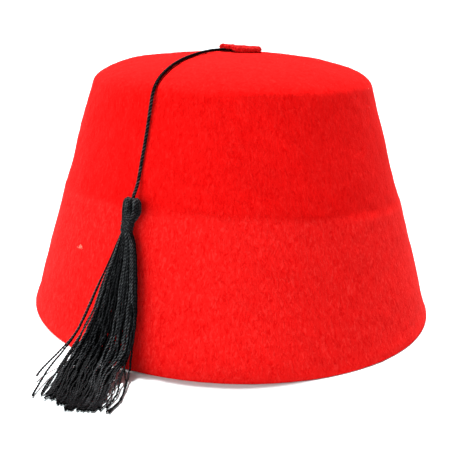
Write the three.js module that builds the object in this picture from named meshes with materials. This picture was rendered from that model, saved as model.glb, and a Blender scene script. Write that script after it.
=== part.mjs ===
// A fez: a hollow cone of red felt with a patch on its top and a black tassel on a cord.
// Millimetres, +Z up. The origin is the middle of the rim, on the surface that the hat rests on.
// The wearer's front is -Y, and the tassel hangs at the front left.
import * as THREE from 'three';
import { mergeVertices } from 'three/addons/utils/BufferGeometryUtils.js';

// Felt crown
const RIM_RADIUS = 93.9; // mean, without the step and the flare, for a head of 580 mm round
const SHOULDER_RADIUS = 62.5;
const SHOULDER_HEIGHT = 99.6;
const CROWN_HEIGHT = 113.4;
const WALL = 2;
const SHOULDER_POWER = 2.5; // how late the shoulder turns in
const DOME_POWER = 2.03; // how round the top is
const OVALITY = 0.04; // share by which the rim's long radius passes the mean
const OVAL_TURN = 0.38; // from the front towards +X, radians
const CROWN_LEAN = 0.007; // sideways per unit of height
const TOP_TILT = -0.0088; // rise per unit of width across the top
const RIM_FLARE = 0.4;
const FLARE_HEIGHT = 7;
const CROWN_SEGMENTS = 60;

// The top edge of the inner stiffener shows through as a step that waves round the wall
const RIDGE_HEIGHT = 55.6;
const RIDGE_WAVE = 2.1; // higher at front and back than at the sides
const RIDGE_SLOPE = 2.6; // higher on the left than on the right
const RIDGE_STEP = 0.45;
const RIDGE_WIDTH = 4;

const WALL_ROWS = [0, 2, 7, 20, 36, 48, 52, 56, 60, 74, 88];
const SHOULDER_ROWS = 9;

// Patch on the top
const PATCH_RADIUS = 9.6;
const PATCH_THICKNESS = 2.6;
const PATCH_CENTRE = { x: 3.8, y: 0 };
const PATCH_EDGE = 0.7; // rounding of its cut edge
const PATCH_LIFT = 1.75; // where its left side is raised over the cord
const PATCH_PRESS = 0.7; // how much thinner it is there
const LIFT_START = 1; // to the left of its middle
const LIFT_RUN = 3;
const PATCH_SEGMENTS = 28;

// Tassel
const GAP = 0.3; // between pieces that touch
const CORD_RADIUS = 0.65;
const CORD_SIDES = 8;
const CORD_STEPS = 60;
const HEAD_RADIUS = 3.65;
const HEAD_LENGTH = 7.3;
const CORE_RADIUS = 1.75;
const BINDING_RADIUS = 2.35;
const BINDING_LENGTH = 5.7;
const HEAD_TOP = { x: -36.5, y: -68.7, z: 62.8 };
const NECK_END = { x: -38.7, y: -72.6, z: 50.5 };
const TASSEL_SIDES = 20;

// The cord's middle line, from under the patch over the top and down the wall to the head
const CORD_ROUTE = [
  { x: -0.4, y: -2.3, z: 114.4 },
  { x: -2.6, y: -3.9, z: 114.4 },
  { x: -5.2, y: -6.6, z: 114.4 },
  { x: -8.5, y: -10.8, z: 114.3 },
  { x: -12.4, y: -18.2, z: 113.8 },
  { x: -16.1, y: -25.4, z: 113.0 },
  { x: -19.6, y: -33.2, z: 111.9 },
  { x: -22.6, y: -40.4, z: 110.4 },
  { x: -25.1, y: -46.2, z: 108.5 },
  { x: -27.2, y: -50.6, z: 106.3 },
  { x: -28.7, y: -53.7, z: 103.7 },
  { x: -29.6, y: -55.5, z: 100.9 },
  { x: -30.3, y: -56.7, z: 97.0 },
  { x: -31.0, y: -58.0, z: 92.0 },
  { x: -31.7, y: -59.4, z: 87.0 },
  { x: -32.5, y: -60.8, z: 82.0 },
  { x: -33.4, y: -62.2, z: 77.0 },
  { x: -34.2, y: -63.6, z: 72.0 },
  { x: -35.0, y: -65.2, z: 67.5 },
  { x: -35.8, y: -67.0, z: 64.7 },
  { x: -36.3, y: -68.2, z: 63.3 },
];

// Sections of the fringe from the neck to the tips: middle, half width, half thickness, and
// how far the width is turned from the X axis, in degrees
const FRINGE_SECTIONS = [
  { x: -38.7, y: -72.5, z: 49.9, width: 2.3, thickness: 2.3, turn: -29 },
  { x: -38.8, y: -73.3, z: 46.5, width: 4.2, thickness: 2.7, turn: -29 },
  { x: -39.8, y: -75.2, z: 40.0, width: 6.5, thickness: 3.1, turn: -29 },
  { x: -41.8, y: -77.9, z: 30.5, width: 9.6, thickness: 3.3, turn: -29 },
  { x: -44.2, y: -81.1, z: 20.0, width: 12.3, thickness: 3.4, turn: -28 },
  { x: -46.7, y: -84.5, z: 11.5, width: 14.4, thickness: 3.4, turn: -26 },
  { x: -49.3, y: -89.3, z: 6.2, width: 15.8, thickness: 3.2, turn: -20 },
  { x: -51.2, y: -94.8, z: 3.8, width: 16.3, thickness: 3.0, turn: -13 },
  { x: -52.3, y: -102.0, z: 3.0, width: 16.6, thickness: 2.6, turn: -8 },
  { x: -53.3, y: -110.5, z: 2.4, width: 16.6, thickness: 2.0, turn: -6 },
  { x: -53.8, y: -118.0, z: 1.8, width: 14.5, thickness: 1.3, turn: -6 },
];

const redFelt = new THREE.MeshStandardMaterial({ color: 0xe31411, roughness: 0.95, metalness: 0 });
const patchFelt = new THREE.MeshStandardMaterial({ color: 0xe61b16, roughness: 0.95, metalness: 0 });
const blackCord = new THREE.MeshStandardMaterial({ color: 0x0b0b0d, roughness: 0.55, metalness: 0 });
const blackThread = new THREE.MeshStandardMaterial({ color: 0x0d0d10, roughness: 0.5, metalness: 0 });
const blackBinding = new THREE.MeshStandardMaterial({ color: 0x09090b, roughness: 0.5, metalness: 0 });
const blackFringe = new THREE.MeshStandardMaterial({ color: 0x0c0c0f, roughness: 0.45, metalness: 0 });

function smooth(value) {
  const t = Math.min(Math.max(value, 0), 1);
  return t * t * (3 - 2 * t);
}

// Outer radius of the round, upright form at a height
function outerRadius(height) {
  const slope = (SHOULDER_RADIUS - RIM_RADIUS) / SHOULDER_HEIGHT;
  const cone = RIM_RADIUS + slope * height;
  const rise = (height - SHOULDER_HEIGHT) / (CROWN_HEIGHT - SHOULDER_HEIGHT);
  if (rise <= 0) return cone;
  return cone * Math.pow(Math.max(1 - Math.pow(rise, SHOULDER_POWER), 0), 1 / DOME_POWER);
}

function ridgeHeight(angle) {
  return RIDGE_HEIGHT + RIDGE_WAVE * Math.cos(2 * angle) - RIDGE_SLOPE * Math.sin(angle);
}

// Turn a point of the round, upright form into the real one: oval, leaning, stepped and flared.
// The angle runs from the front towards +X.
function crownPoint(radius, angle, height) {
  const oval = OVALITY * (1 - height / CROWN_HEIGHT) * Math.cos(2 * (angle - OVAL_TURN));
  const below = smooth((ridgeHeight(angle) - height) / RIDGE_WIDTH + 0.5);
  const flare = RIM_FLARE * (1 - smooth(height / FLARE_HEIGHT));
  const r = radius * (1 + oval) + RIDGE_STEP * below + flare;
  const x = r * Math.sin(angle) + CROWN_LEAN * height;
  const tilt = TOP_TILT * x * smooth(height / CROWN_HEIGHT);
  return new THREE.Vector3(x, -r * Math.cos(angle), height + tilt);
}

// Height of the crown's outer surface above a point of its plan, near the middle of the top
function topHeight(x, y) {
  const reach = Math.hypot(x - CROWN_LEAN * CROWN_HEIGHT, y);
  let low = SHOULDER_HEIGHT;
  let high = CROWN_HEIGHT;
  for (let step = 0; step < 40; step += 1) {
    const middle = (low + high) / 2;
    if (outerRadius(middle) > reach) low = middle;
    else high = middle;
  }
  return high + TOP_TILT * x;
}

function crownProfile() {
  const outer = WALL_ROWS.map((height) => new THREE.Vector2(outerRadius(height), height));
  for (let row = 0; row <= SHOULDER_ROWS; row += 1) {
    const turn = (row / SHOULDER_ROWS) * (Math.PI / 2);
    const span = CROWN_HEIGHT - SHOULDER_HEIGHT;
    const height = SHOULDER_HEIGHT + span * Math.pow(Math.sin(turn), 2 / SHOULDER_POWER);
    outer.push(new THREE.Vector2(row === SHOULDER_ROWS ? 0 : outerRadius(height), height));
  }
  const inner = outer.map((point, index) => {
    if (index === outer.length - 1) return new THREE.Vector2(0, CROWN_HEIGHT - WALL);
    const before = outer[Math.max(index - 1, 0)];
    const along = outer[index + 1].clone().sub(before).normalize();
    const height = index === 0 ? 0 : point.y + along.x * WALL;
    return new THREE.Vector2(point.x - along.y * WALL, height);
  });
  return [...inner.reverse(), ...outer];
}

// Give a closed geometry shared vertices, so that it is one solid
function weld(geometry) {
  geometry.deleteAttribute('normal');
  geometry.deleteAttribute('uv');
  const welded = mergeVertices(geometry, 1e-4);
  const index = welded.getIndex().array;
  const kept = [];
  for (let corner = 0; corner < index.length; corner += 3) {
    const [a, b, c] = [index[corner], index[corner + 1], index[corner + 2]];
    if (a !== b && b !== c && c !== a) kept.push(a, b, c);
  }
  welded.setIndex(kept);
  welded.computeVertexNormals();
  return welded;
}

function crownGeometry() {
  const geometry = new THREE.LatheGeometry(crownProfile(), CROWN_SEGMENTS);
  const points = geometry.getAttribute('position');
  for (let index = 0; index < points.count; index += 1) {
    const radius = Math.hypot(points.getX(index), points.getZ(index));
    const angle = Math.atan2(points.getX(index), points.getZ(index));
    const height = points.getY(index);
    const place = radius < 1e-6
      ? new THREE.Vector3(CROWN_LEAN * height, 0, height)
      : crownPoint(radius, angle, height);
    points.setXYZ(index, place.x, place.y, place.z);
  }
  return weld(geometry);
}

// Half a section of a disc with a rounded edge, from the middle of its underside to that of its top
function discProfile(radius, thickness, edge, rings, corners) {
  const top = [];
  for (let ring = 0; ring < rings; ring += 1) {
    top.push(new THREE.Vector2(((radius - edge) * ring) / rings, thickness));
  }
  for (let corner = 0; corner <= corners; corner += 1) {
    const turn = (corner / corners) * (Math.PI / 2);
    const reach = radius - edge + edge * Math.sin(turn);
    top.push(new THREE.Vector2(reach, thickness - edge + edge * Math.cos(turn)));
  }
  const bottom = top.map((point) => new THREE.Vector2(point.x, thickness - point.y));
  return [...bottom, ...top.reverse()];
}

function patchGeometry() {
  const profile = discProfile(PATCH_RADIUS, PATCH_THICKNESS, PATCH_EDGE, 4, 3);
  const geometry = new THREE.LatheGeometry(profile, PATCH_SEGMENTS);
  const points = geometry.getAttribute('position');
  for (let index = 0; index < points.count; index += 1) {
    const angle = Math.atan2(points.getX(index), points.getZ(index));
    const cut = 1 + 0.025 * Math.cos(3 * angle) + 0.02 * Math.sin(2 * angle);
    const x = PATCH_CENTRE.x + points.getX(index) * cut;
    const y = PATCH_CENTRE.y - points.getZ(index) * cut;
    const left = smooth((-points.getX(index) - LIFT_START) / LIFT_RUN);
    const thickness = points.getY(index) * (1 - (PATCH_PRESS / PATCH_THICKNESS) * left);
    const height = topHeight(x, y) + GAP + PATCH_LIFT * left + thickness;
    points.setXYZ(index, x, y, height);
  }
  return weld(geometry);
}

function cordGeometry() {
  const route = CORD_ROUTE.map((point) => new THREE.Vector3(point.x, point.y, point.z));
  const path = new THREE.CatmullRomCurve3(route, false, 'centripetal');
  const section = new THREE.Shape();
  for (let side = 0; side < CORD_SIDES; side += 1) {
    const turn = (side / CORD_SIDES) * 2 * Math.PI;
    const [x, y] = [CORD_RADIUS * Math.cos(turn), CORD_RADIUS * Math.sin(turn)];
    if (side === 0) section.moveTo(x, y);
    else section.lineTo(x, y);
  }
  return weld(new THREE.ExtrudeGeometry(section, { steps: CORD_STEPS, extrudePath: path }));
}

// The round head, and below it the core that the binding is wound on. Lengths run down from 0.
function headGeometry() {
  const profile = [new THREE.Vector2(0, 0)];
  const rings = 9;
  const neck = Math.asin(CORE_RADIUS / HEAD_RADIUS);
  for (let ring = 1; ring <= rings; ring += 1) {
    const turn = (ring / rings) * (Math.PI - neck);
    const depth = (HEAD_LENGTH / 2) * (1 - Math.cos(turn));
    profile.push(new THREE.Vector2(HEAD_RADIUS * Math.sin(turn), -depth));
  }
  const end = HEAD_LENGTH + BINDING_LENGTH;
  profile.push(new THREE.Vector2(CORE_RADIUS, -end), new THREE.Vector2(0, -end));
  return weld(new THREE.LatheGeometry(profile.reverse(), TASSEL_SIDES));
}

function bindingGeometry() {
  const inner = CORE_RADIUS + GAP;
  const round = (BINDING_RADIUS - inner) / 2;
  const top = -HEAD_LENGTH - GAP;
  const end = top - BINDING_LENGTH + 2 * GAP;
  const profile = [
    new THREE.Vector2(inner, end),
    new THREE.Vector2(BINDING_RADIUS - round, end),
    new THREE.Vector2(BINDING_RADIUS, end + round),
    new THREE.Vector2(BINDING_RADIUS, top - round),
    new THREE.Vector2(BINDING_RADIUS - round, top),
    new THREE.Vector2(inner, top),
    new THREE.Vector2(inner, end),
  ];
  return weld(new THREE.LatheGeometry(profile, TASSEL_SIDES));
}

// A cylinder whose rings are moved onto the sections
function fringeGeometry() {
  const last = FRINGE_SECTIONS.length - 1;
  const middles = FRINGE_SECTIONS.map((row) => new THREE.Vector3(row.x, row.y, row.z));
  const geometry = new THREE.CylinderGeometry(1, 1, 1, TASSEL_SIDES, last);
  const points = geometry.getAttribute('position');
  for (let index = 0; index < points.count; index += 1) {
    const row = Math.round((0.5 - points.getY(index)) * last);
    const section = FRINGE_SECTIONS[row];
    const turn = THREE.MathUtils.degToRad(section.turn);
    const along = middles[Math.min(row + 1, last)].clone().sub(middles[Math.max(row - 1, 0)]);
    const across = new THREE.Vector3(Math.cos(turn), Math.sin(turn), 0);
    const outward = new THREE.Vector3().crossVectors(along, across).normalize();
    const place = middles[row].clone();
    place.addScaledVector(across, points.getX(index) * section.width);
    place.addScaledVector(outward, points.getZ(index) * section.thickness);
    points.setXYZ(index, place.x, place.y, place.z);
  }
  return weld(geometry);
}

function named(name, geometry, material) {
  const mesh = new THREE.Mesh(geometry, material);
  mesh.name = name;
  return mesh;
}

const hat = new THREE.Group();
hat.add(named('felt_crown', crownGeometry(), redFelt));
hat.add(named('top_patch', patchGeometry(), patchFelt));
hat.add(named('tassel_cord', cordGeometry(), blackCord));
hat.add(named('tassel_fringe', fringeGeometry(), blackFringe));

// The head and its binding share one axis, which leans with the wall
const neck = new THREE.Group();
const headTop = new THREE.Vector3(HEAD_TOP.x, HEAD_TOP.y, HEAD_TOP.z);
const neckEnd = new THREE.Vector3(NECK_END.x, NECK_END.y, NECK_END.z);
neck.position.copy(headTop);
neck.quaternion.setFromUnitVectors(
  new THREE.Vector3(0, 1, 0),
  headTop.clone().sub(neckEnd).normalize(),
);
neck.add(named('tassel_head', headGeometry(), blackThread));
neck.add(named('neck_binding', bindingGeometry(), blackBinding));
hat.add(neck);

export default hat;
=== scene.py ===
import math

import bpy
import numpy as np
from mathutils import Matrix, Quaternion, Vector


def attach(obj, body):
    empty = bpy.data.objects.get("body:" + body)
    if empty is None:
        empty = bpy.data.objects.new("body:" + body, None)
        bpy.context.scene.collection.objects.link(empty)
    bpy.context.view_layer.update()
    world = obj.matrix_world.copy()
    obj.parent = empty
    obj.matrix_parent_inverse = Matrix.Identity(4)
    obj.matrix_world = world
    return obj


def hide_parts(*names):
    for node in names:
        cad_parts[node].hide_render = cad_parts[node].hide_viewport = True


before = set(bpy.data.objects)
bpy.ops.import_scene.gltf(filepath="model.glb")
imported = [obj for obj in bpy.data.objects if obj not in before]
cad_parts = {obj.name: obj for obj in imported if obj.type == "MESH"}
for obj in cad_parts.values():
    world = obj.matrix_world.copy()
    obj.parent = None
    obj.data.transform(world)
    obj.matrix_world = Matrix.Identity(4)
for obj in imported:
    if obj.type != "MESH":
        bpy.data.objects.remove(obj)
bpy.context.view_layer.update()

# A red felt fez and its black tassel. Lengths are in millimetres until a mesh is made, in the
# frame of the CAD model: +Z up, the front is -Y, and the hat rests on its rim at z = 0.
MM = 0.001

# Felt crown, as in the CAD model
RIM_RADIUS = 93.9
SHOULDER_RADIUS = 62.5
SHOULDER_HEIGHT = 99.6
CROWN_HEIGHT = 113.4
WALL = 2.0
SHOULDER_POWER = 2.5
DOME_POWER = 2.03
OVALITY = 0.04
OVAL_TURN = 0.38
CROWN_LEAN = 0.007
TOP_TILT = -0.0088
RIM_FLARE = 0.4
FLARE_HEIGHT = 7.0
RIDGE_HEIGHT = 55.6
RIDGE_WAVE = 2.1
RIDGE_SLOPE = 2.6
RIDGE_STEP = 0.45
RIDGE_WIDTH = 4.0
WALL_ROWS = 130
SHOULDER_ROWS = 54
CROWN_COLUMNS = 320
WALL_FIBRES = 34000
RIM_FIBRES = 4200

# Patch on the top. It is a little thinner and lower than its CAD solid, to leave room for its nap
PATCH_RADIUS = 9.6
PATCH_THICKNESS = 2.35
PATCH_CENTRE = (3.8, 0.0)
PATCH_LIFT = 1.35
PATCH_PRESS = 0.7
LIFT_START = 1.0
LIFT_RUN = 3.0
PATCH_GAP = 0.12
PATCH_EDGE = 1.15  # radius of its rounded edge in plan
PATCH_ROWS = 26
PATCH_EDGE_ROWS = 14
PATCH_COLUMNS = 180
PATCH_FIBRES = 5200
PATCH_EDGE_FIBRES = 3000

# Tassel, as in the CAD model
CORD_PLIES = 3
PLY_RADIUS = 0.38
PLY_SPREAD = 0.33  # from the cord's middle to a ply's middle
CORD_PITCH = 4.3
CORD_SINK = 1.2  # how far it goes down into the head
CORD_PAINTED_GLINT = 2.05  # painted highlight on the plies' crests on the wall, as a shade
CORD_TOP_GLINT_LOSS = 0.55  # share of that painted highlight taken away on the top, above GLINT_HEIGHT, which paints the cord darker where the light from above falls
GLINT_HEIGHT = 98.0
GLINT_RUN = 10.0
HEAD_TOP = (-36.5, -68.7, 62.8)
NECK_END = (-38.7, -72.6, 50.5)
BINDING_START = 8.4  # depth from the head's top
BINDING_END = 13.3
HEAD_OUTWARD = (-0.46, -0.88, 0.1)  # away from the wall
HEAD_ROWS = 92
HEAD_COLUMNS = 40
CORD_ROUTE = [
    (-0.4, -2.3, 114.4),
    (-2.6, -3.9, 114.4),
    (-5.2, -6.6, 114.4),
    (-8.5, -10.8, 114.3),
    (-12.4, -18.2, 113.8),
    (-16.1, -25.4, 113.0),
    (-19.6, -33.2, 111.9),
    (-22.6, -40.4, 110.4),
    (-25.1, -46.2, 108.5),
    (-27.2, -50.6, 106.3),
    (-28.7, -53.7, 103.7),
    (-29.6, -55.5, 100.9),
    (-30.3, -56.7, 97.0),
    (-31.0, -58.0, 92.0),
    (-31.7, -59.4, 87.0),
    (-32.5, -60.8, 82.0),
    (-33.4, -62.2, 77.0),
    (-34.2, -63.6, 72.0),
    (-35.0, -65.2, 67.5),
    (-35.8, -67.0, 64.7),
    (-36.3, -68.2, 63.3),
]
# x, y, z of the middle, half width, half thickness, turn of the width from the X axis in degrees
FRINGE_SECTIONS = [
    (-38.7, -72.5, 49.9, 2.3, 2.3, -29),
    (-38.8, -73.3, 46.5, 4.2, 2.7, -29),
    (-39.8, -75.2, 40.0, 6.5, 3.1, -29),
    (-41.8, -77.9, 30.5, 9.6, 3.3, -29),
    (-44.2, -81.1, 20.0, 12.3, 3.4, -28),
    (-46.7, -84.5, 11.5, 14.4, 3.4, -26),
    (-49.3, -89.3, 6.2, 15.8, 3.2, -20),
    (-51.2, -94.8, 3.8, 16.3, 3.0, -13),
    (-52.3, -102.0, 3.0, 16.6, 2.6, -8),
    (-53.3, -110.5, 2.4, 16.6, 2.0, -6),
    (-53.8, -118.0, 1.8, 14.5, 1.3, -6),
]

# depth from the head's top, radius, and shift to the right, from the cord's hole over the folded
# top and down to the end of the neck
HEAD_OUTLINE = [
    (2.0, 0.55, 0.70),
    (1.4, 0.90, 0.60),
    (0.8, 1.50, 0.30),
    (0.75, 2.10, 0.05),
    (1.1, 2.70, 0.00),
    (1.7, 3.10, 0.10),
    (2.6, 3.32, 0.20),
    (3.8, 3.42, 0.35),
    (5.3, 3.36, 0.46),
    (6.5, 3.12, 0.34),
    (7.7, 2.75, 0.15),
    (8.9, 2.25, -0.10),
    (10.5, 1.95, -0.15),
    (13.3, 1.95, 0.00),
]

# how many threads go round in each layer, their reach as a share of the head's radius, thickness
HEAD_THREADS = [
    (20, 0.88, 0.40),
    (27, 0.93, 0.40),
]

# turns, first and last depth, rise above the neck, and thickness of each layer of wound thread
BINDING_LAYERS = [
    (10.5, BINDING_START, BINDING_END, 0.10, 0.26),
    (4.3, BINDING_END - 0.3, BINDING_START + 0.4, 0.40, 0.20),
    (2.6, BINDING_START + 0.6, BINDING_END - 0.2, 0.52, 0.20),
]

STRANDS = 112
STRAND_RADIUS = 0.33
STRAND_POINTS = 300
STRAND_SIDES = 6
STRAND_PITCH = 2.7
NO_TURN = 0.25  # the trough between two crests of a twist, where the painted highlight is darkest
SIDE_LIMIT = 0.9
LEFT_LIMIT = -0.46  # the bundle ends more squarely on the left

# length of a wave along a strand as a share of the fringe, and its strength
STRAND_WAVES = [
    (0.36, 0.42),
    (0.17, 0.24),
    (0.07, 0.11),
    (0.035, 0.05),
]

# side and depth in the bundle, where it stops, how wavy it is, and its sideways drift
STRAYS = [
    (-0.96, -0.2, 0.765, 0.30, -0.11),
    (-0.87, 0.1, 0.905, 0.35, -0.02),
    (-0.76, -0.3, 0.885, 0.5, 0.04),
    (-0.67, 0.3, 0.875, 0.7, 0.00),
    (-0.60, 0.1, 0.92, 1.0, 0.00),
    (0.88, -0.1, 1.0, 0.7, 0.10),
    (0.75, 0.3, 0.965, 1.0, 0.10),
    (0.68, -0.2, 1.0, 1.0, 0.28),
    (0.62, 0.2, 0.97, 1.2, 0.05),
    (0.80, -0.3, 0.99, 1.1, -0.06),
]

# Pale flecks of lint: place, the way out of the felt, and size
LINT = [
    ((-59.9, -54.1, 38.3), (-0.74, -0.67, 0.2), 1.6),
    ((57.3, -25.6, 100.2), (0.9, -0.4, 0.3), 0.4),
]

# Colours, the deep, middle and pale ones of a felt and the deep and pale ones of its nap
FELT_COLOURS = (0.66, 0.002, 0.002), (0.75, 0.008, 0.007), (0.81, 0.021, 0.018)
PATCH_COLOURS = (0.26, 0.001, 0.001), (0.44, 0.002, 0.003), (0.80, 0.032, 0.030)
NAP_COLOURS = (0.60, 0.006, 0.005), (0.86, 0.023, 0.019)
PATCH_NAP_COLOURS = (0.32, 0.001, 0.001), (0.82, 0.030, 0.028)
LINT_COLOUR = (0.95, 0.25, 0.18)
FLOOR_COLOUR = (0.68, 0.74, 0.75)

# Floor: a flat disc, a bend and a slope
FLOOR_FLAT = 2500.0
FLOOR_BEND = 2500.0
FLOOR_SLOPE = 8.0
FLOOR_SLOPE_LENGTH = 5000.0
FLOOR_COLUMNS = 96

# Light: the room's strength and how it falls to the right, and for each sun the way towards it,
# its strength and how wide it looks in degrees
ROOM_LIGHT = 0.37
ROOM_SLOPE = 0.35
KEY_LIGHT = (-0.78, -0.62, 0.26), 2.4, 50
BACK_LIGHT = (-0.006, 0.365, 0.931), 7.8, 2.2

# Camera
CAMERA_TARGET = (0.36, 0.0, 29.6)
CAMERA_DISTANCE = 366.0
CAMERA_ELEVATION = 16.3
CAMERA_ROLL = 0.74
CAMERA_LENS = 59.66


# ---------------------------------------------------------------- helpers


def smooth(value):
    t = np.clip(value, 0, 1)
    return t * t * (3 - 2 * t)


def unit(vectors):
    return vectors / np.maximum(np.linalg.norm(vectors, axis=-1, keepdims=True), 1e-12)


def lumps(points, size, seed, waves=28):
    """A smooth random field of about unit strength, with bumps about that size across."""
    rng = np.random.default_rng(seed)
    directions = unit(rng.normal(size=(waves, 3)))
    numbers = 2 * math.pi / (size * rng.uniform(1.2, 3.2, waves))
    phases = rng.uniform(0, 2 * math.pi, waves)
    angles = points @ (directions * numbers[:, None]).T + phases
    return np.sin(angles).sum(-1) * math.sqrt(2 / waves)


def spline(points, count):
    """A smooth curve through the points, as evenly spaced points."""
    p = np.asarray(points, float)
    p = np.vstack([2 * p[0] - p[1], p, 2 * p[-1] - p[-2]])
    t = np.linspace(0, 1, 24, endpoint=False)[:, None]
    parts = []
    for a, b, c, d in zip(p[:-3], p[1:-2], p[2:-1], p[3:]):
        bend = (2 * a - 5 * b + 4 * c - d) * t**2 + (3 * b - a - 3 * c + d) * t**3
        parts.append(0.5 * (2 * b + (c - a) * t + bend))
    fine = np.vstack(parts + [p[-2:-1]])
    return even(fine, count)


def even(line, count):
    steps = np.linalg.norm(np.diff(line, axis=0), axis=1)
    along = np.concatenate([[0], np.cumsum(steps)])
    wanted = np.linspace(0, along[-1], count)
    return np.stack([np.interp(wanted, along, line[:, k]) for k in range(3)], 1)


def length_of(line):
    return float(np.linalg.norm(np.diff(line, axis=0), axis=1).sum())


def frames(line):
    """Tangents and two sideways directions that turn as little as they can along a line."""
    tangents = unit(np.gradient(line, axis=0))
    start = np.cross(tangents[0], (0.3, 0.9, 0.2))
    sides = np.empty_like(line)
    sides[0] = start / np.linalg.norm(start)
    for k in range(1, len(line)):
        side = sides[k - 1] - tangents[k] * np.dot(sides[k - 1], tangents[k])
        sides[k] = side / np.linalg.norm(side)
    return tangents, sides, np.cross(tangents, sides)


class Shape:
    """Points and faces gathered for one mesh. Each point has a shade from 0 to 1, and each
    corner of a face a turn, which says where it is round a twisted thread and so where the
    black material paints its highlights."""

    def __init__(self):
        self.points, self.faces, self.shades, self.turns, self.count = [], [], [], [], 0

    def add(self, points, faces, shade=0.5, turn=None):
        points = np.asarray(points, float).reshape(-1, 3)
        self.points.append(points)
        self.faces += [[int(k) + self.count for k in face] for face in faces]
        self.shades.append(np.broadcast_to(np.asarray(shade, float), (len(points),)))
        corners = sum(len(face) for face in faces)
        self.turns.append(np.full(corners, NO_TURN) if turn is None else np.ravel(turn))
        self.count += len(points)

    def add_face(self, points):
        """One face between points that are there already."""
        self.faces.append(list(points))
        self.turns.append(np.full(len(self.faces[-1]), NO_TURN))

    def add_grid(self, grid, closed=True, shade=0.5, turns=None):
        """A grid of rows and columns. Closed columns join round. Shade is one, or one a point."""
        rows, columns = grid.shape[:2]
        width = columns if closed else columns - 1
        row, column = np.meshgrid(np.arange(rows - 1), np.arange(width), indexing="ij")
        row, column = row.ravel(), column.ravel()
        after = (column + 1) % columns
        faces = np.stack(
            [row * columns + column, row * columns + after,
             (row + 1) * columns + after, (row + 1) * columns + column], 1)
        turn = None
        if turns is not None:
            here, there = column / columns - turns[row], column / columns - turns[row + 1]
            turn = np.stack([here, here + 1 / columns, there + 1 / columns, there], 1)
        self.add(grid, faces.tolist(), np.ravel(shade) if np.ndim(shade) else shade, turn)

    def add_tube(self, line, radius, sides=6, turns=None, lobe=0.0, shade=0.5):
        """A closed tube. Its section may have two lobes that turn along it, as plies do."""
        _, across, up = frames(line)
        radius = np.broadcast_to(np.asarray(radius, float), (len(line),))
        angle = np.linspace(0, 2 * math.pi, sides, endpoint=False)
        phase = np.zeros(len(line)) if turns is None else 2 * math.pi * np.asarray(turns)
        crest = np.cos(2 * (angle[None, :] - phase[:, None]))
        reach = radius[:, None] * (1 + lobe * crest)
        ring = across[:, None, :] * (np.cos(angle)[None, :, None] * reach[:, :, None])
        ring = ring + up[:, None, :] * (np.sin(angle)[None, :, None] * reach[:, :, None])
        grid = line[:, None, :] + ring
        first = self.count
        self.add_grid(grid, shade=shade, turns=None if turns is None else np.asarray(turns))
        last = first + (len(line) - 1) * sides
        self.add_face([first + k for k in range(sides)][::-1])
        self.add_face([last + k for k in range(sides)])

    def make(self, name, material):
        mesh = bpy.data.meshes.new(name)
        points = np.concatenate(self.points) * MM
        mesh.from_pydata(points.tolist(), [], self.faces)
        shade = mesh.attributes.new("shade", "FLOAT", "POINT")
        shade.data.foreach_set("value", np.concatenate(self.shades).astype(np.float32))
        turn = mesh.attributes.new("turn", "FLOAT", "CORNER")
        turn.data.foreach_set("value", np.concatenate(self.turns).astype(np.float32))
        mesh.shade_smooth()
        mesh.materials.append(material)
        mesh.update()
        piece = bpy.data.objects.new(name, mesh)
        bpy.context.scene.collection.objects.link(piece)
        return piece


# ---------------------------------------------------------------- the crown's form


def outer_radius(height):
    """Outer radius of the round, upright form."""
    slope = (SHOULDER_RADIUS - RIM_RADIUS) / SHOULDER_HEIGHT
    cone = RIM_RADIUS + slope * height
    rise = np.clip((height - SHOULDER_HEIGHT) / (CROWN_HEIGHT - SHOULDER_HEIGHT), 0, 1)
    return cone * (1 - rise**SHOULDER_POWER) ** (1 / DOME_POWER)


def ridge_height(angle):
    return RIDGE_HEIGHT + RIDGE_WAVE * np.cos(2 * angle) - RIDGE_SLOPE * np.sin(angle)


def crown_point(radius, angle, height):
    """The real form: oval, leaning, stepped and flared. The angle runs from the front to +X."""
    oval = OVALITY * (1 - height / CROWN_HEIGHT) * np.cos(2 * (angle - OVAL_TURN))
    below = smooth((ridge_height(angle) - height) / RIDGE_WIDTH + 0.5)
    flare = RIM_FLARE * (1 - smooth(height / FLARE_HEIGHT))
    middle = smooth(radius / 20)  # the step and the flare leave the top's middle alone
    r = radius * (1 + oval) + (RIDGE_STEP * below + flare) * middle
    x = r * np.sin(angle) + CROWN_LEAN * height
    z = height + TOP_TILT * x * smooth(height / CROWN_HEIGHT)
    return np.stack([x, -r * np.cos(angle), z], -1)


def top_height(x, y):
    """Height of the outer surface above a point of the plan, on the top."""
    reach = np.hypot(x - CROWN_LEAN * CROWN_HEIGHT, y)
    low = np.full_like(reach, SHOULDER_HEIGHT)
    high = np.full_like(reach, CROWN_HEIGHT)
    for _ in range(40):
        middle = (low + high) / 2
        inside = outer_radius(middle) > reach
        low, high = np.where(inside, middle, low), np.where(inside, high, middle)
    return high + TOP_TILT * x


def outer_section(wall_rows, shoulder_rows):
    wall = np.linspace(0.6, SHOULDER_HEIGHT, wall_rows, endpoint=False)
    turn = np.linspace(0, math.pi / 2, shoulder_rows)
    span = CROWN_HEIGHT - SHOULDER_HEIGHT
    shoulder = SHOULDER_HEIGHT + span * np.sin(turn) ** (2 / SHOULDER_POWER)
    height = np.concatenate([wall, shoulder])
    radius = outer_radius(height)
    radius[-1] = 0.02
    return np.stack([radius, height], 1)


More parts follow.
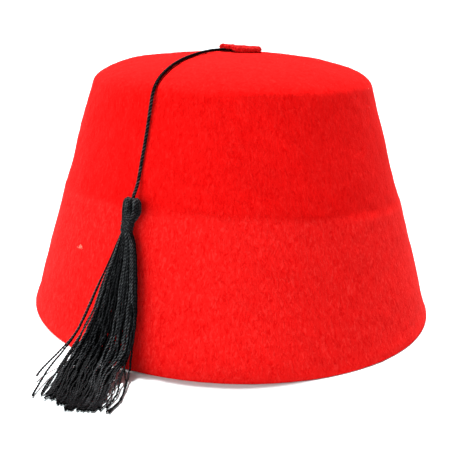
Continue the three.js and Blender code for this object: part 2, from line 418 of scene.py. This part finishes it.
def crown_section(wall_rows, shoulder_rows):
    """The wall's whole section, from the inside of the top round the rim to the outside."""
    outer = outer_section(wall_rows, shoulder_rows)
    inner = outer_section(wall_rows // 3, shoulder_rows // 2)
    along = unit(np.gradient(inner, axis=0))
    inner = inner + WALL * np.stack([-along[:, 1], along[:, 0]], 1)
    inner = inner[inner[:, 0] > 1.0]
    inner = np.vstack([inner, [[0.02, CROWN_HEIGHT - WALL]]])
    out, into = outer[0, 0], inner[0, 0]
    rim = [(into + 0.06, 0.3), (into + 0.3, 0.06), (into + 0.6, 0.0), (out - 0.6, 0.0),
           (out - 0.3, 0.06), (out - 0.06, 0.3)]
    return np.vstack([inner[::-1], rim, outer])


def grid_normals(grid):
    down = np.gradient(grid, axis=0)
    wrapped = np.concatenate([grid[:, -1:], grid, grid[:, :1]], 1)
    around = (wrapped[:, 2:] - wrapped[:, :-2]) / 2
    return unit(np.cross(around, down))


def felt_relief(points, seed):
    broad = 0.16 * lumps(points, 16, seed)
    mottle = 0.05 * lumps(points, 4.5, seed + 1)
    fine = 0.03 * lumps(points * (1, 1, 0.45), 1.6, seed + 2)
    return broad + mottle + fine


# ---------------------------------------------------------------- materials


class Nodes:
    """A material's node tree, with short calls for the nodes that these materials share."""

    def __init__(self, name):
        self.material = bpy.data.materials.new(name)
        self.material.use_nodes = True
        self.tree = self.material.node_tree
        self.shader = self.tree.nodes["Principled BSDF"]

    def new(self, kind, **settings):
        node = self.tree.nodes.new(kind)
        for key, value in settings.items():
            setattr(node, key, value)
        return node

    def link(self, out, into):
        self.tree.links.new(out, into)

    def place(self, stretch=(1, 1, 1)):
        """The point in the row frame in millimetres, stretched."""
        coordinate = self.new("ShaderNodeTexCoord")
        mapping = self.new("ShaderNodeMapping", vector_type="POINT")
        mapping.inputs["Scale"].default_value = [k / MM for k in stretch]
        self.link(coordinate.outputs["Object"], mapping.inputs["Vector"])
        return mapping.outputs["Vector"]

    def noise(self, vector, size, detail=3.0, roughness=0.55, distortion=0.0):
        """Noise with bumps of about that size in millimetres."""
        node = self.new("ShaderNodeTexNoise")
        node.inputs["Scale"].default_value = 1 / size
        node.inputs["Detail"].default_value = detail
        node.inputs["Roughness"].default_value = roughness
        node.inputs["Distortion"].default_value = distortion
        self.link(vector, node.inputs["Vector"])
        return node.outputs["Fac"]

    def ramp(self, value, stops):
        node = self.new("ShaderNodeValToRGB")
        ramp = node.color_ramp
        while len(ramp.elements) < len(stops):
            ramp.elements.new(0.5)
        for element, (place, colour) in zip(ramp.elements, stops):
            element.position = place
            element.color = (*colour, 1)
        self.link(value, node.inputs["Fac"])
        return node.outputs["Color"]

    def mix(self, factor, a, b, mode="MIX"):
        node = self.new("ShaderNodeMix", data_type="RGBA", blend_type=mode)
        sockets = {"Factor": factor, "A": a, "B": b}
        wanted = {"Factor": node.inputs[0], "A": node.inputs[6], "B": node.inputs[7]}
        for key, value in sockets.items():
            if isinstance(value, bpy.types.NodeSocket):
                self.link(value, wanted[key])
            elif key == "Factor":
                wanted[key].default_value = value
            else:
                wanted[key].default_value = (*value, 1)
        return node.outputs[2]

    def add(self, values):
        """The sum of (socket, weight) pairs."""
        total = None
        for socket, weight in values:
            node = self.new("ShaderNodeMath", operation="MULTIPLY_ADD")
            self.link(socket, node.inputs[0])
            node.inputs[1].default_value = weight
            if total is None:
                node.inputs[2].default_value = 0.0
            else:
                self.link(total, node.inputs[2])
            total = node.outputs[0]
        return total

    def bump(self, height, distance, strength):
        node = self.new("ShaderNodeBump")
        node.inputs["Distance"].default_value = distance * MM
        node.inputs["Strength"].default_value = strength
        self.link(height, node.inputs["Height"])
        self.link(node.outputs["Normal"], self.shader.inputs["Normal"])

    def curls(self, stretch, size):
        """Thin curling lines, broken into short lengths, as strength from 0 to 1."""
        course = self.noise(self.place(stretch), size, detail=1, distortion=0.7)
        band = self.ramp(course, [(0.44, (0, 0, 0)), (0.49, (1, 1, 1)), (0.51, (1, 1, 1)),
                                  (0.56, (0, 0, 0))])
        length = self.noise(self.place([k * 1.37 for k in stretch]), size * 0.9, detail=1)
        part = self.ramp(length, [(0.50, (0, 0, 0)), (0.60, (0.75, 0.75, 0.75))])
        return self.mix(1.0, band, part, "MULTIPLY")

    def shade(self):
        return self.new("ShaderNodeAttribute", attribute_name="shade").outputs["Fac"]

    def set(self, **values):
        for key, value in values.items():
            self.shader.inputs[key.replace("_", " ")].default_value = value


def felt_material(name, deep, middle, pale, bump, sheen):
    """Pressed felt: blotches, short curling streaks that run down the wall, and fine fibres.

    The shade attribute goes from 0, deeper and redder, to 1, paler; the crown has 0 above its ridge
    and 1 below it."""
    n = Nodes(name)
    blotch = n.noise(n.place(), 6.5, detail=3)
    streak = n.noise(n.place((1, 1, 0.36)), 1.25, detail=2, roughness=0.5, distortion=1.2)
    fibre = n.noise(n.place((1, 1, 0.4)), 0.45, detail=3, roughness=0.7, distortion=1.0)
    grain = n.add([(streak, 0.64), (fibre, 0.24), (blotch, 0.12)])
    colour = n.ramp(grain, [(0.38, deep), (0.47, middle), (0.55, middle), (0.64, pale)])
    colour = n.mix(n.curls((1, 1, 0.42), 1.7), colour, pale)
    colour = n.mix(n.curls((1.13, 0.93, 0.47), 1.9), colour, deep)
    deeper_tone = n.mix(1.0, colour, (0.94, 0.45, 0.45), "MULTIPLY")
    n.link(n.mix(n.shade(), deeper_tone, colour), n.shader.inputs["Base Color"])
    n.bump(n.add([(streak, 0.7), (fibre, 0.3)]), bump, 0.7)
    n.set(Roughness=0.95, Sheen_Weight=sheen, Sheen_Roughness=0.45)
    n.set(Sheen_Tint=(1.0, 0.5, 0.45, 1), Specular_IOR_Level=0.04)
    return n.material


def nap_material(name, deep, pale):
    n = Nodes(name)
    colour = n.ramp(n.shade(), [(0.0, deep), (1.0, pale)])
    n.link(colour, n.shader.inputs["Base Color"])
    n.set(Roughness=0.9, Specular_IOR_Level=0.1)
    return n.material


def thread_material(name):
    """Black rayon: nearly black, with painted highlights that make it paler where the crest of a
    twist turns outwards and in flecks of noise.
    """
    n = Nodes(name)
    flecks = n.noise(n.place(), 1.4, detail=2, roughness=0.5)
    turn = n.new("ShaderNodeAttribute", attribute_name="turn").outputs["Fac"]
    wave = n.new("ShaderNodeMath", operation="COSINE")
    n.link(n.add([(turn, 4 * math.pi)]), wave.inputs[0])
    # painted highlight: the crest of the twist, the point's shade and the noise flecks lift the
    # ramp to pale grey
    level = n.add([(wave.outputs[0], 0.23), (n.shade(), 0.42), (flecks, 0.50)])
    stops = [(0.22, (0.0004, 0.0004, 0.0005)), (0.47, (0.0045, 0.0048, 0.0055)),
             (0.68, (0.020, 0.021, 0.023)), (0.95, (0.120, 0.126, 0.130))]
    n.link(n.ramp(level, stops), n.shader.inputs["Base Color"])
    n.bump(flecks, 0.10, 0.6)
    n.set(Roughness=0.42, Specular_IOR_Level=0.03)
    return n.material


def plain_material(name, colour, roughness):
    n = Nodes(name)
    tone = n.noise(n.place(), 60, detail=2)
    n.link(n.ramp(tone, [(0.3, [k * 0.985 for k in colour]), (0.7, colour)]),
           n.shader.inputs["Base Color"])
    n.set(Roughness=roughness, Specular_IOR_Level=0.2)
    return n.material


# ---------------------------------------------------------------- camera and cord


def make_camera():
    camera = bpy.data.objects.new("camera", bpy.data.cameras.new("camera"))
    bpy.context.scene.collection.objects.link(camera)
    bpy.context.scene.camera = camera
    tilt = math.radians(CAMERA_ELEVATION)
    back = Vector((0, -math.cos(tilt), math.sin(tilt)))
    camera.location = (Vector(CAMERA_TARGET) + back * CAMERA_DISTANCE) * MM
    camera.rotation_mode = "QUATERNION"
    level = (-back).to_track_quat("-Z", "Y")
    camera.rotation_quaternion = level @ Quaternion((0, 0, 1), math.radians(CAMERA_ROLL))
    camera.data.sensor_width = 36
    camera.data.lens = CAMERA_LENS
    camera.data.clip_start = 0.01


def twisted(line, plies, ply_radius, spread, pitch, shape, sides=12, steps_a_turn=24, seed=0):
    """Plies wound round a line, each a tube of its own with a painted highlight on its crest, which
    is weaker on the top.
    """
    rng = np.random.default_rng(seed)
    turns = length_of(line) / pitch
    fine = even(line, int(turns * steps_a_turn))
    _, across, up = frames(fine)
    groove = spread / 2 + math.sqrt(ply_radius**2 - 0.75 * spread**2)
    wobble = 0.12 * np.sin(np.linspace(0, turns * 2.3, len(fine)) + rng.uniform(0, 6))
    for ply in range(plies):
        angle = 2 * math.pi * (np.linspace(0, turns, len(fine)) + ply / plies) + wobble
        offset = across * np.cos(angle)[:, None] + up * np.sin(angle)[:, None]
        first = len(shape.shades)
        shape.add_tube(fine + spread * offset, ply_radius, sides)
        points = shape.points[first].reshape(len(fine), sides, 3)
        out = np.linalg.norm(points - fine[:, None, :], axis=-1)
        # painted highlight: the shade is raised where a ply's crest faces outwards, and lowered
        # again on the top
        crest = np.clip((out - groove) / (spread + ply_radius - groove), 0, 1) ** 8
        painted_glint_kept = 1 - CORD_TOP_GLINT_LOSS * smooth((fine[:, 2] - GLINT_HEIGHT) / GLINT_RUN)
        painted_glint = CORD_PAINTED_GLINT * crest * painted_glint_kept[:, None] * rng.uniform(0.9, 1.1)
        shape.shades[first] = painted_glint.ravel()


def make_cord(material):
    """Three plies. Its last stretch goes down into the tassel's head."""
    down = unit(np.array(NECK_END) - np.array(HEAD_TOP))
    end = np.array(CORD_ROUTE[-1]) + down * CORD_SINK
    line = spline(CORD_ROUTE + [tuple(end)], 500)
    shape = Shape()
    twisted(line, CORD_PLIES, PLY_RADIUS, PLY_SPREAD, CORD_PITCH, shape, seed=3)
    return shape.make("cord", material), line


# ---------------------------------------------------------------- felt


def make_crown(material):
    section = crown_section(WALL_ROWS, SHOULDER_ROWS)
    columns = CROWN_COLUMNS
    angle = np.linspace(0, 2 * math.pi, columns, endpoint=False)
    radius, height = section[:, :1], section[:, 1:]
    grid = crown_point(radius, angle[None, :], height + 0 * angle[None, :])
    normals = grid_normals(grid)
    flat = grid.reshape(-1, 3)
    relief = felt_relief(flat, 11).reshape(grid.shape[:2])
    rim = smooth(grid[..., 2] / 3.0)
    centre = smooth(radius / 12)
    grid = grid + normals * (relief * rim * centre)[..., None]
    grid[..., 2] = np.maximum(grid[..., 2], 0)
    # the felt is deeper above the ridge and paler below it
    shade = smooth((ridge_height(angle)[None, :] - height) / 2.2 + 0.35)
    shape = Shape()
    shape.add_grid(grid, shade=shade)
    shape.add_face(list(range(columns))[::-1])
    shape.add_face(list(range((len(section) - 1) * columns, len(section) * columns)))
    return shape.make("felt_crown_shell", material), grid


def scatter(grid, count, rng):
    """Random points on a grid whose columns close, even by area, with their normals and the
    directions of the columns."""
    a = grid[:-1]
    b = np.roll(grid, -1, axis=1)[:-1]
    c = grid[1:]
    area = np.linalg.norm(np.cross(b - a, c - a), axis=-1)
    chance = np.cumsum(area.ravel())
    picked = np.searchsorted(chance, rng.uniform(0, chance[-1], count))
    row, column = np.unravel_index(picked, area.shape)
    u, v = rng.uniform(0, 1, (2, count, 1))
    p, q, r = a[row, column], b[row, column], c[row, column]
    points = p + (q - p) * u + (r - p) * v
    return points, unit(np.cross(q - p, r - p)), unit(r - p)


def add_fibres(shape, points, normals, lean, rng, length, width, stand):
    """Short bent ribbons that stand off a surface and lean along it. Three faces each."""
    count = len(points)
    random = unit(rng.normal(size=(count, 3)))
    away = unit(normals * rng.uniform(*stand, (count, 1)) + lean * 0.55 + random * 0.6)
    bend = unit(away + random[::-1] * 0.55 - normals * 0.25)
    size = length * rng.uniform(0.4, 1.3, (count, 1))
    side = unit(np.cross(away, random)) * (width / 2)
    base = points - normals * 0.08
    middle = base + away * size * 0.5
    tip = middle + bend * size * 0.5
    rows = np.stack([base - side, base + side, middle + side * 0.8, middle - side * 0.8, tip], 1)
    start = np.arange(count)[:, None] * 5
    quads = (start + [0, 1, 2, 3]).tolist()
    tips = (start + [3, 2, 4]).tolist()
    shade = np.repeat(rng.uniform(0, 1, count), 5)
    shape.add(rows, quads + tips, shade)


def make_crown_nap(grid, section_split, material):
    rng = np.random.default_rng(21)
    outer = grid[section_split:]
    points, normals, along = scatter(outer, WALL_FIBRES, rng)
    shape = Shape()
    add_fibres(shape, points, normals, -along, rng, length=0.9, width=0.06, stand=(0.05, 0.5))
    rim = grid[section_split - 8:section_split + 2]
    points, normals, along = scatter(rim, RIM_FIBRES, rng)
    lean = along * 0.2
    add_fibres(shape, points, normals, lean, rng, length=0.6, width=0.05, stand=(0.3, 0.8))
    for part in shape.points:
        part[:, 2] = np.maximum(part[:, 2], 0.02)
    return shape.make("felt_crown_nap", material)


def patch_grid():
    """The patch as a closed grid from the middle of its underside round to that of its top."""
    flat = PATCH_RADIUS - PATCH_EDGE
    reach = np.linspace(0.02, 1, PATCH_ROWS)
    bottom = np.stack([reach * flat, np.zeros(PATCH_ROWS)], 1)
    turn = np.linspace(-math.pi / 2, math.pi / 2, PATCH_EDGE_ROWS + 2)[1:-1]
    side = np.stack([flat + PATCH_EDGE * np.cos(turn), 0.5 + 0.5 * np.sin(turn)], 1)
    top = np.stack([reach[::-1] * flat, np.ones(PATCH_ROWS)], 1)
    section = np.vstack([bottom, side, top])
    angle = np.linspace(0, 2 * math.pi, PATCH_COLUMNS, endpoint=False)[None, :]
    cut = 1 + 0.025 * np.cos(3 * angle) + 0.02 * np.sin(2 * angle)
    cut = cut + 0.012 * np.sin(7 * angle + 1) + 0.008 * np.sin(13 * angle)
    cut = cut * (1 - 0.09 * smooth(-np.sin(angle)))
    x = section[:, :1] * cut * np.sin(angle)
    y = -section[:, :1] * cut * np.cos(angle)
    left = smooth((-x - LIFT_START) / LIFT_RUN) * smooth((3.5 - y) / 5)
    thickness = PATCH_THICKNESS * section[:, 1:] * (1 - PATCH_PRESS / PATCH_THICKNESS * left)
    base = top_height(x + PATCH_CENTRE[0], y + PATCH_CENTRE[1])
    droop = 0.012 * np.maximum(x, 0) ** 1.2 * section[:, 1:]
    z = base + PATCH_GAP + PATCH_LIFT * left + thickness - droop
    grid = np.stack([x + PATCH_CENTRE[0], y + PATCH_CENTRE[1], z], -1)
    upper = section[:, 1:] + 0 * angle
    return grid, upper


def make_patch(material):
    grid, upper = patch_grid()
    flat = grid.reshape(-1, 3)
    normals = grid_normals(grid)
    dent = lumps(flat, 4.0, 31).reshape(upper.shape)
    ribs = lumps(flat * (1, 1, 0.25), 1.7, 32).reshape(upper.shape)
    fine = lumps(flat, 0.9, 33).reshape(upper.shape)
    x = grid[..., 0] - PATCH_CENTRE[0]
    y = grid[..., 1] - PATCH_CENTRE[1]
    crease = np.exp(-((x + 2.2 - 0.35 * y) / 0.55) ** 2)
    wall = np.exp(-((upper - 0.5) / 0.3) ** 2)
    sunk = 0.10 * dent + (0.08 + 0.2 * wall) * ribs + 0.07 * fine - 0.35 * crease * upper
    grid = grid + normals * (sunk * smooth(upper * 4) * smooth(np.hypot(x, y) / 2))[..., None]
    shape = Shape()
    shape.add_grid(grid)
    columns = grid.shape[1]
    shape.add_face(list(range(columns))[::-1])
    shape.add_face(list(range((len(grid) - 1) * columns, len(grid) * columns)))
    return shape.make("top_patch_felt", material), grid


def make_patch_nap(grid, material):
    rng = np.random.default_rng(41)
    shape = Shape()
    points, normals, along = scatter(grid[PATCH_ROWS:], PATCH_FIBRES, rng)
    lean = along * 0.1
    add_fibres(shape, points, normals, lean, rng, length=0.6, width=0.05, stand=(0.1, 0.6))
    edge = grid[PATCH_ROWS - 2:PATCH_ROWS + PATCH_EDGE_ROWS + 2]
    points, normals, along = scatter(edge, PATCH_EDGE_FIBRES, rng)
    lean = along * 0.1
    add_fibres(shape, points, normals, lean, rng, length=0.7, width=0.05, stand=(0.2, 0.8))
    return shape.make("top_patch_nap", material)


def make_lint(places, material):
    """Pale flecks of lint caught in the nap: each a small tangle of fibres round a flat crumb."""
    shape = Shape()
    for seed, (place, outward, size) in enumerate(places):
        rng = np.random.default_rng(50 + seed)
        outward = unit(np.array(outward, float))
        t = np.linspace(-0.98, 0.98, 9)[:, None]
        crumb = np.array(place) + outward * t * 0.2 * size
        shape.add_tube(crumb, 0.36 * size * np.sqrt(1 - t[:, 0] ** 2), sides=12)
        for _ in range(int(20 * size)):
            start = np.array(place) + rng.normal(size=3) * 0.20 * size + outward * 0.1
            walk = np.cumsum(rng.normal(size=(6, 3)) * 0.10 * size + outward * 0.02, axis=0)
            line = spline(start + walk, 14)
            shape.add_tube(line, 0.05 + 0.05 * size * rng.uniform(), 5, shade=rng.uniform())
    return shape.make("lint", material)


# ---------------------------------------------------------------- tassel


def head_point(depth, angle, radius, shift=0.0):
    """A point round the tassel's head, where depth runs down its axis and angle 0 is the right."""
    top, end = np.array(HEAD_TOP), np.array(NECK_END)
    down = unit(end - top)
    right = unit(np.cross(HEAD_OUTWARD, down))
    out = np.cross(down, right)
    depth, angle, radius, shift = np.broadcast_arrays(depth, angle, radius, shift)
    flat = right * (np.cos(angle) * radius + shift)[..., None]
    return top + down * depth[..., None] + flat + out * (np.sin(angle) * radius)[..., None]


def head_outline():
    return spline(HEAD_OUTLINE, HEAD_ROWS)


def make_head(material):
    """Threads folded over the end of the cord, lying side by side down the head."""
    rng = np.random.default_rng(61)
    depth, radius, shift = head_outline().T
    columns = HEAD_COLUMNS
    angle = np.linspace(0, 2 * math.pi, columns, endpoint=False)[None, :]
    core = head_point(depth[:, None] + 0.2, angle, radius[:, None] * 0.9, shift[:, None])
    shape = Shape()
    shape.add_grid(core, shade=0.0)
    shape.add_face(list(range(columns))[::-1])
    shape.add_face(list(range((len(core) - 1) * columns, len(core) * columns)))
    t = np.linspace(0, 1, len(depth))
    for threads, share, thick in HEAD_THREADS:
        for k in range(threads):
            start = 2 * math.pi * (k + rng.uniform(-0.2, 0.2)) / threads
            swirl = rng.normal() * 0.16 * t + 0.06 * np.sin(6 * t + rng.uniform(0, 6))
            lift = rng.normal() * 0.08 + 0.07 * np.sin(11 * t + rng.uniform(0, 6))
            bulge = 1 + 0.03 * math.cos(3 * start + 1) + 0.03 * math.cos(5 * start)
            line = head_point(
                depth + 0.15 * rng.normal(), start + swirl, radius * share * bulge + lift, shift)
            twist = t * rng.uniform(5.5, 9.5) + rng.uniform()
            size = thick * rng.uniform(0.85, 1.2)
            shade = rng.uniform(0.3, 0.85)
            shape.add_tube(line, size, sides=8, turns=twist, lobe=0.20, shade=shade)
    return shape.make("tassel_head_threads", material)


def make_binding(material):
    """Thread wound round the neck in close turns, with a few turns that cross them."""
    rng = np.random.default_rng(71)
    shape = Shape()
    outline = head_outline()
    outline = outline[outline[:, 1].argmax():]
    for turns, first, last, rise, thick in BINDING_LAYERS:
        t = np.linspace(0, 1, int(turns * 30))
        angle = 2 * math.pi * turns * t
        depth = first + (last - first) * t + 0.07 * np.sin(angle * 0.37) + 0.06 * np.sin(angle)
        radius = np.interp(depth, outline[:, 0], outline[:, 1])
        shift = np.interp(depth, outline[:, 0], outline[:, 2])
        reach = radius + rise + 0.05 * np.sin(angle * 0.21 + 1)
        line = head_point(depth, angle, reach, shift)
        shade = rng.uniform(0.45, 0.9)
        shape.add_tube(line, thick, sides=7, turns=t * turns * 5, lobe=0.22, shade=shade)
    return shape.make("neck_binding_thread", material)


def fringe_frame(t):
    """Middle, half width, half thickness, and the directions across and outward, at t from 0
    to 1 down the fringe."""
    table = np.array(FRINGE_SECTIONS, float)
    steps = np.linalg.norm(np.diff(table[:, :3], axis=0), axis=1)
    along = np.concatenate([[0], np.cumsum(steps)])
    fine_t = np.linspace(0, 1, 400)
    keys = np.interp(fine_t * along[-1], along, np.arange(len(table)))
    low = np.clip(keys.astype(int), 0, len(table) - 2)
    share = (keys - low)[:, None]
    padded = np.vstack([2 * table[:1] - table[1:2], table, 2 * table[-1:] - table[-2:-1]])
    a, b, c, d = (padded[low + k] for k in range(4))
    bend = (2 * a - 5 * b + 4 * c - d) * share**2 + (3 * b - a - 3 * c + d) * share**3
    fine = 0.5 * (2 * b + (c - a) * share + bend)
    pick = np.stack([np.interp(t, fine_t, fine[:, k]) for k in range(6)], -1)
    tangent = unit(np.gradient(fine[:, :3], axis=0))
    tangent = unit(np.stack([np.interp(t, fine_t, tangent[:, k]) for k in range(3)], -1))
    turn = np.radians(pick[..., 5])
    across = np.stack([np.cos(turn), np.sin(turn), 0 * turn], -1)
    outward = unit(np.cross(tangent, across))
    return pick[..., :3], pick[..., 3], pick[..., 4], across, outward


def keep_clear(line, radius):
    """Push a strand's line out of the crown and up off the floor."""
    line = line.copy()
    line[:, 2] = np.maximum(line[:, 2], 1.4 * radius + 0.05)
    for _ in range(2):
        height = np.clip(line[:, 2], 0, CROWN_HEIGHT)
        x = line[:, 0] - CROWN_LEAN * height
        reach = np.hypot(x, line[:, 1])
        angle = np.arctan2(x, -line[:, 1])
        wall = crown_point(outer_radius(height), angle, height)
        need = np.hypot(wall[:, 0] - CROWN_LEAN * height, wall[:, 1]) + 1.08 * radius + 0.25
        push = np.maximum(need - reach, 0) / np.maximum(reach, 1e-6)
        line[:, 0] += x * push
        line[:, 1] += line[:, 1] * push
    return line


def strand_line(rng, a, b, end, wave, drift=0.0):
    """One strand's line. a and b place it in the bundle, and end is how far down it stops.

    It comes out of the neck, and drifts sideways by the given part of the half width."""
    t = np.linspace(0, end, STRAND_POINTS)
    middle, width, thick, across, outward = fringe_frame(np.minimum(t, 1))
    free = smooth(t * 2.6)
    settle = smooth((t - 0.70) / 0.25)
    side = (a + drift * smooth((t - 0.48) / 0.30)) * width
    out = b * thick * (1 - 0.8 * settle)
    for size, strength in STRAND_WAVES:
        phase = rng.uniform(0, 2 * math.pi, 2)
        amount = rng.normal(size=2) * strength * wave
        side = side + free * amount[0] * np.sin(2 * math.pi * t / size + phase[0])
        ripple = 0.55 * free * amount[1] * np.sin(2 * math.pi * t / size + phase[1])
        out = out + ripple * (1 - 0.7 * settle)
    line = middle + across * side[:, None] + outward * out[:, None]
    line[:, 2] -= settle * np.maximum(middle[:, 2] - 0.75, 0)
    root = head_point(10.5 + 1.2 * abs(b), math.atan2(b, a), 1.6 * min(math.hypot(a, b), 1))
    return even(np.vstack([root + (line[:1] - root) * k for k in (0, 0.35, 0.7)] + [line]),
                STRAND_POINTS)


def add_strand(shape, rng, line, radius):
    """A strand of two twisted plies, whose cut end is a little frayed and thicker."""
    line = keep_clear(line, radius * 1.2)
    size = length_of(line)
    t = np.linspace(0, 1, len(line))
    reach = radius * rng.uniform(0.88, 1.1) * (1 + 0.3 * np.exp(-((1 - t) * size / 0.9) ** 2))
    turns = t * size / STRAND_PITCH + rng.uniform()
    # painted shade: each strand is darker towards its cut end, where the light from above falls
    # most
    shade = rng.uniform(0.0, 1.0) * (1 - 0.4 * smooth((t - 0.6) / 0.35))
    shade = np.repeat(shade, STRAND_SIDES)
    shape.add_tube(line, reach, STRAND_SIDES, turns, lobe=0.22, shade=shade)


def strand_end(rng, a):
    """How far down a strand reaches: the cut slants, so those on the left stop sooner."""
    return 1.01 + 0.20 * min(a, 0) - 0.045 * abs(rng.normal())


def make_fringe(material):
    rng = np.random.default_rng(81)
    pieces = []
    golden = math.pi * (3 - math.sqrt(5))
    order = []
    for k in range(STRANDS):
        reach = math.sqrt((k + 0.5) / STRANDS)
        a = reach * math.cos(k * golden) + rng.normal() * 0.04
        b = reach * math.sin(k * golden) + rng.normal() * 0.04
        a = float(np.clip(a * 0.93, -SIDE_LIMIT, SIDE_LIMIT))
        if a < LEFT_LIMIT:
            a = LEFT_LIMIT + 0.12 * (a - LEFT_LIMIT)
        order.append((b, a))
    order.sort()
    for layer, name in enumerate(("fringe_strands_under", "fringe_strands", "fringe_strands_over")):
        shape = Shape()
        for b, a in order[layer * STRANDS // 3:(layer + 1) * STRANDS // 3]:
            drift = -0.45 * max(a - 0.25, 0) + rng.normal() * 0.035
            line = strand_line(rng, a, b * 0.92, strand_end(rng, a), 1.0, drift)
            add_strand(shape, rng, line, STRAND_RADIUS)
        pieces.append(shape.make(name, material))
    return pieces


def make_strays(material):
    """Single strands that stand clear of the bundle at its sides."""
    rng = np.random.default_rng(91)
    shape = Shape()
    for a, b, end, wave, drift in STRAYS:
        add_strand(shape, rng, strand_line(rng, a, b, end, wave, drift), 1.08 * STRAND_RADIUS)
    return shape.make("fringe_strays", material)


# ---------------------------------------------------------------- stage and light


def make_floor(material):
    """A wide round floor that rises at its edge all round, like a shallow dish."""
    shape = Shape()
    slope = math.radians(FLOOR_SLOPE)
    profile = [(0.5, 0.0), (FLOOR_FLAT, 0.0)]
    for turn in np.linspace(0, slope, 12)[1:]:
        out, rise = math.sin(turn), 1 - math.cos(turn)
        profile.append((FLOOR_FLAT + FLOOR_BEND * out, FLOOR_BEND * rise))
    reach, height = profile[-1]
    profile.append((reach + FLOOR_SLOPE_LENGTH * math.cos(slope),
                    height + FLOOR_SLOPE_LENGTH * math.sin(slope)))
    angle = -np.linspace(0, 2 * math.pi, FLOOR_COLUMNS, endpoint=False)
    rows = [(r * np.cos(angle), r * np.sin(angle), z + 0 * angle) for r, z in profile]
    shape.add_grid(np.stack([np.stack(row, -1) for row in rows]))
    shape.add_face(list(range(FLOOR_COLUMNS))[::-1])
    floor = shape.make("floor", material)


def sun(name, towards, strength, spread):
    """Soft light from one side. spread is how wide the source looks, in degrees."""
    data = bpy.data.lights.new(name, "SUN")
    data.energy = strength
    data.angle = math.radians(spread)
    lamp = bpy.data.objects.new(name, data)
    bpy.context.scene.collection.objects.link(lamp)
    lamp.rotation_mode = "QUATERNION"
    lamp.rotation_quaternion = Vector(towards).to_track_quat("Z", "Y")


def make_light():
    """A white room that is brighter on the left, a soft key light, and a steep light from above
    and behind that lays a narrow shadow before the rim."""
    scene = bpy.context.scene
    scene.view_settings.view_transform = "Standard"
    world = bpy.data.worlds.new("studio")
    scene.world = world
    world.use_nodes = True
    tree = world.node_tree
    direction = tree.nodes.new("ShaderNodeTexCoord")
    split = tree.nodes.new("ShaderNodeSeparateXYZ")
    strength = tree.nodes.new("ShaderNodeMath")
    strength.operation = "MULTIPLY_ADD"
    strength.inputs[1].default_value = -ROOM_SLOPE
    strength.inputs[2].default_value = ROOM_LIGHT
    background = tree.nodes["Background"]
    background.inputs["Color"].default_value = (1, 1, 1, 1)
    tree.links.new(direction.outputs["Generated"], split.inputs[0])
    tree.links.new(split.outputs["X"], strength.inputs[0])
    tree.links.new(strength.outputs[0], background.inputs["Strength"])
    sun("key", *KEY_LIGHT)
    sun("back", *BACK_LIGHT)


# ---------------------------------------------------------------- the hat


def ride(piece, node=None):
    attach(piece, "root")
    if node:
        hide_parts(node)
    return piece


make_camera()
black = thread_material("black_rayon")
cord, cord_line = make_cord(black)
ride(cord, "tassel_cord")
head = ride(make_head(black), "tassel_head")
binding = ride(make_binding(black), "neck_binding")
for strands in make_fringe(black):
    ride(strands, "tassel_fringe")
ride(make_strays(black), "tassel_fringe")

felt = felt_material("red_felt", *FELT_COLOURS, bump=0.45, sheen=0.010)
patch_felt = felt_material("patch_felt", *PATCH_COLOURS, bump=0.9, sheen=0.05)
nap = nap_material("felt_nap", *NAP_COLOURS)
patch_nap = nap_material("patch_nap", *PATCH_NAP_COLOURS)
crown, crown_grid = make_crown(felt)
ride(crown, "felt_crown")
split = len(crown_grid) - WALL_ROWS - SHOULDER_ROWS
ride(make_crown_nap(crown_grid, split, nap), "felt_crown")
patch, patch_form = make_patch(patch_felt)
ride(patch, "top_patch")
ride(make_patch_nap(patch_form, patch_nap), "top_patch")
lint = make_lint(LINT, plain_material("lint", LINT_COLOUR, 0.9))
ride(lint)

make_floor(plain_material("floor", FLOOR_COLOUR, 0.8))
make_light()
